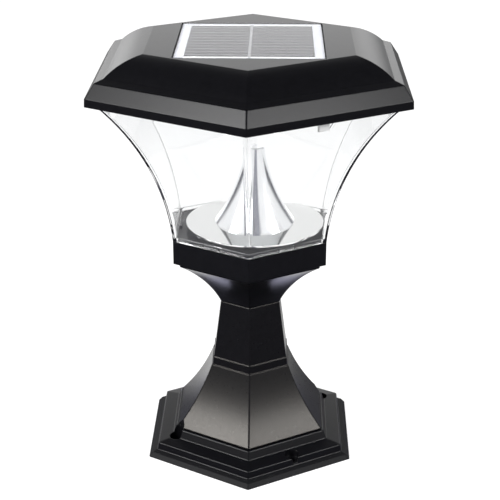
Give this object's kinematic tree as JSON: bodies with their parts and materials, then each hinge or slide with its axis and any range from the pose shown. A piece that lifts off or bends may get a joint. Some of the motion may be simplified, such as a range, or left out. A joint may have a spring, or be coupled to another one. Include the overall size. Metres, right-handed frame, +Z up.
{
  "type": "solar pillar light",
  "caption": "Six-sided black solar light on a flared pedestal, with a lift-off domed cap that carries a solar panel over a clear flared lens and a mirror cone.",
  "frame": {"origin": "middle of the plinth's underside, on the axis of the pedestal", "axes": "+Z up, +Y to the back, +X to the right; one corner of the six-sided outline faces -Y"},
  "size_m": [0.2166, 0.2496, 0.3091],
  "materials": {
    "roof_plastic": "satin black moulding",
    "body_plastic": "satin black moulding",
    "plate_plastic": "satin white moulding",
    "lens_clear": "clear polished acrylic",
    "mirror_disc": "mirror",
    "chrome_cone": "vacuum-plated chrome",
    "foam": "closed-cell foam",
    "steel": "zinc-plated steel",
    "panel_white": "white laminate",
    "cell_silicon": "anti-reflective silicon",
    "ribbon_metal": "tinned ribbon",
    "panel_clear": "clear resin",
    "seal_rubber": "soft black rubber",
    "gasket_silicone": "soft light grey silicone",
    "lamp_board": "white solder mask",
    "led_phosphor": "yellow phosphor",
    "board_green": "green solder mask",
    "component_black": "matt black",
    "battery_wrap": "shrink sleeve",
    "contact_metal": "nickel-plated strip",
    "lead_red": "insulated wire",
    "lead_black": "insulated wire"
  },
  "bodies": {
    "pedestal": {"plinth": "body_plastic", "column": "body_plastic", "neck_funnel": "body_plastic", "collar": "body_plastic", "lens": "lens_clear", "reflector_pad": "foam", "reflector_disc": "mirror_disc", "reflector_cone": "chrome_cone", "cone_screw": "steel", "neck_bolt": "steel", "neck_nut": "steel", "neck_washers": "steel", "column_screws": "steel", "collar_screws": "steel"},
    "cap": {"roof_cap": "roof_plastic", "underside_plate": "plate_plastic", "battery_door": "plate_plastic", "cap_screws": "steel", "led_screws": "steel", "door_screws": "steel", "board_screws": "steel", "panel_backsheet": "panel_white", "solar_cells": "cell_silicon", "bus_ribbon": "ribbon_metal", "panel_cover": "panel_clear", "panel_seal": "seal_rubber", "cap_gasket": "gasket_silicone", "led_board": "lamp_board", "led_chips": "led_phosphor", "control_board": "board_green", "board_components": "component_black", "switch_body": "component_black", "battery_cell": "battery_wrap", "battery_contact": "contact_metal", "battery_spring": "contact_metal", "positive_leads": "lead_red", "negative_leads": "lead_black"},
    "switch": {"switch_knob": "component_black"}
  },
  "joints": [
    {"name": "cap_lift", "type": "slide", "parent": "pedestal", "child": "cap", "axis": [0, 0, 1], "range_m": [0, 0.08]},
    {"name": "switch_slide", "type": "slide", "parent": "cap", "child": "switch", "axis": [1, 0, 0], "range_m": [0, 0.003]}
  ]
}
